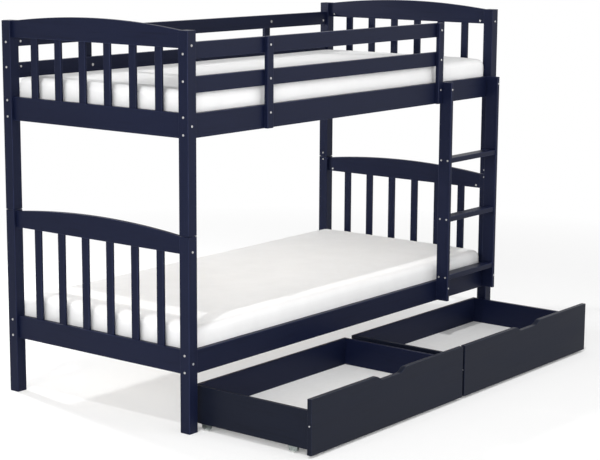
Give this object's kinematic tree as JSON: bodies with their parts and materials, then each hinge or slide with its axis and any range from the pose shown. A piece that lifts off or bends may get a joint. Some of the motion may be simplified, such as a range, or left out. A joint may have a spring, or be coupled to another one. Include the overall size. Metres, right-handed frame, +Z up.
{
  "type": "bunk bed",
  "caption": "Navy lacquered wooden bunk bed for single mattresses, with crowned spindle end panels, guard rails, a bolted ladder and roll-out drawers under the lower bed.",
  "frame": {"origin": "on the floor, under the middle of the outline of the bed with its drawers rolled out as in the picture", "axes": "+X along the beds from the left end to the ladder end, +Y from the open front to the back, +Z up"},
  "size_m": [2.096, 1.5012, 1.5155],
  "materials": {
    "navy_lacquer": "satin navy lacquer",
    "slat_pine": "bare planed pine",
    "mattress_cover": "white woven sheet",
    "white_board": "white faced hardboard",
    "zinc_steel": "zinc plated",
    "grey_nylon": "moulded nylon"
  },
  "bodies": {
    "bed": {"lower_post_back_left": "navy_lacquer", "lower_post_front_left": "navy_lacquer", "lower_post_back_right": "navy_lacquer", "lower_post_front_right": "navy_lacquer", "upper_post_back_left": "navy_lacquer", "upper_post_front_left": "navy_lacquer", "upper_post_back_right": "navy_lacquer", "upper_post_front_right": "navy_lacquer", "upper_end_left": "navy_lacquer", "upper_end_right": "navy_lacquer", "lower_end_left": "navy_lacquer", "lower_end_right": "navy_lacquer", "upper_side_rail_back": "navy_lacquer", "upper_side_rail_front": "navy_lacquer", "lower_side_rail_back": "navy_lacquer", "lower_side_rail_front": "navy_lacquer", "guard_rail_back_top": "navy_lacquer", "guard_rail_back_middle": "navy_lacquer", "guard_rail_front_top": "navy_lacquer", "guard_rail_front_middle": "navy_lacquer", "guard_stile_back_left": "navy_lacquer", "guard_stile_back_right": "navy_lacquer", "guard_stile_front_left": "navy_lacquer", "guard_stile_front_right": "navy_lacquer", "upper_slat_base": "slat_pine", "lower_slat_base": "slat_pine", "upper_mattress": "mattress_cover", "lower_mattress": "mattress_cover", "ladder_rail_left": "navy_lacquer", "ladder_rail_right": "navy_lacquer", "ladder_tread_1": "navy_lacquer", "ladder_tread_2": "navy_lacquer", "ladder_tread_3": "navy_lacquer"},
    "drawer_left": {"drawer_left_front": "navy_lacquer", "drawer_left_side_left": "navy_lacquer", "drawer_left_side_right": "navy_lacquer", "drawer_left_back": "navy_lacquer", "drawer_left_bottom": "white_board", "drawer_left_castor_front_left": "zinc_steel", "drawer_left_castor_front_right": "zinc_steel", "drawer_left_castor_back_left": "zinc_steel", "drawer_left_castor_back_right": "zinc_steel"},
    "drawer_left_wheel_1": {"drawer_left_wheel_front_left": "grey_nylon"},
    "drawer_left_wheel_2": {"drawer_left_wheel_front_right": "grey_nylon"},
    "drawer_left_wheel_3": {"drawer_left_wheel_back_left": "grey_nylon"},
    "drawer_left_wheel_4": {"drawer_left_wheel_back_right": "grey_nylon"},
    "drawer_right": {"drawer_right_front": "navy_lacquer", "drawer_right_side_left": "navy_lacquer", "drawer_right_side_right": "navy_lacquer", "drawer_right_back": "navy_lacquer", "drawer_right_bottom": "white_board", "drawer_right_castor_front_left": "zinc_steel", "drawer_right_castor_front_right": "zinc_steel", "drawer_right_castor_back_left": "zinc_steel", "drawer_right_castor_back_right": "zinc_steel"},
    "drawer_right_wheel_1": {"drawer_right_wheel_front_left": "grey_nylon"},
    "drawer_right_wheel_2": {"drawer_right_wheel_front_right": "grey_nylon"},
    "drawer_right_wheel_3": {"drawer_right_wheel_back_left": "grey_nylon"},
    "drawer_right_wheel_4": {"drawer_right_wheel_back_right": "grey_nylon"}
  },
  "joints": [
    {"name": "drawer_left_slide", "type": "slide", "parent": "bed", "child": "drawer_left", "axis": [0, 1, 0], "range_m": [-0.06, 0.537]},
    {"name": "drawer_right_slide", "type": "slide", "parent": "bed", "child": "drawer_right", "axis": [0, 1, 0], "range_m": [-0.06, 0.537]},
    {"name": "drawer_left_wheel_front_left_spin", "type": "hinge", "parent": "drawer_left", "child": "drawer_left_wheel_1", "pos_m": [-0.9675, -0.65235, 0.01], "axis": [1, 0, 0], "continuous": true},
    {"name": "drawer_left_wheel_front_right_spin", "type": "hinge", "parent": "drawer_left", "child": "drawer_left_wheel_2", "pos_m": [-0.0315, -0.65235, 0.01], "axis": [1, 0, 0], "continuous": true},
    {"name": "drawer_left_wheel_back_left_spin", "type": "hinge", "parent": "drawer_left", "child": "drawer_left_wheel_3", "pos_m": [-0.9675, -0.24035, 0.01], "axis": [1, 0, 0], "continuous": true},
    {"name": "drawer_left_wheel_back_right_spin", "type": "hinge", "parent": "drawer_left", "child": "drawer_left_wheel_4", "pos_m": [-0.0315, -0.24035, 0.01], "axis": [1, 0, 0], "continuous": true},
    {"name": "drawer_right_wheel_front_left_spin", "type": "hinge", "parent": "drawer_right", "child": "drawer_right_wheel_1", "pos_m": [0.0315, -0.65235, 0.01], "axis": [1, 0, 0], "continuous": true},
    {"name": "drawer_right_wheel_front_right_spin", "type": "hinge", "parent": "drawer_right", "child": "drawer_right_wheel_2", "pos_m": [0.9675, -0.65235, 0.01], "axis": [1, 0, 0], "continuous": true},
    {"name": "drawer_right_wheel_back_left_spin", "type": "hinge", "parent": "drawer_right", "child": "drawer_right_wheel_3", "pos_m": [0.0315, -0.24035, 0.01], "axis": [1, 0, 0], "continuous": true},
    {"name": "drawer_right_wheel_back_right_spin", "type": "hinge", "parent": "drawer_right", "child": "drawer_right_wheel_4", "pos_m": [0.9675, -0.24035, 0.01], "axis": [1, 0, 0], "continuous": true}
  ],
  "couplings": [
    {"joint": "drawer_left_wheel_front_left_spin", "follows": "drawer_left_slide", "rad_per_m": -100},
    {"joint": "drawer_left_wheel_front_right_spin", "follows": "drawer_left_slide", "rad_per_m": -100},
    {"joint": "drawer_left_wheel_back_left_spin", "follows": "drawer_left_slide", "rad_per_m": -100},
    {"joint": "drawer_left_wheel_back_right_spin", "follows": "drawer_left_slide", "rad_per_m": -100},
    {"joint": "drawer_right_wheel_front_left_spin", "follows": "drawer_right_slide", "rad_per_m": -100},
    {"joint": "drawer_right_wheel_front_right_spin", "follows": "drawer_right_slide", "rad_per_m": -100},
    {"joint": "drawer_right_wheel_back_left_spin", "follows": "drawer_right_slide", "rad_per_m": -100},
    {"joint": "drawer_right_wheel_back_right_spin", "follows": "drawer_right_slide", "rad_per_m": -100}
  ]
}
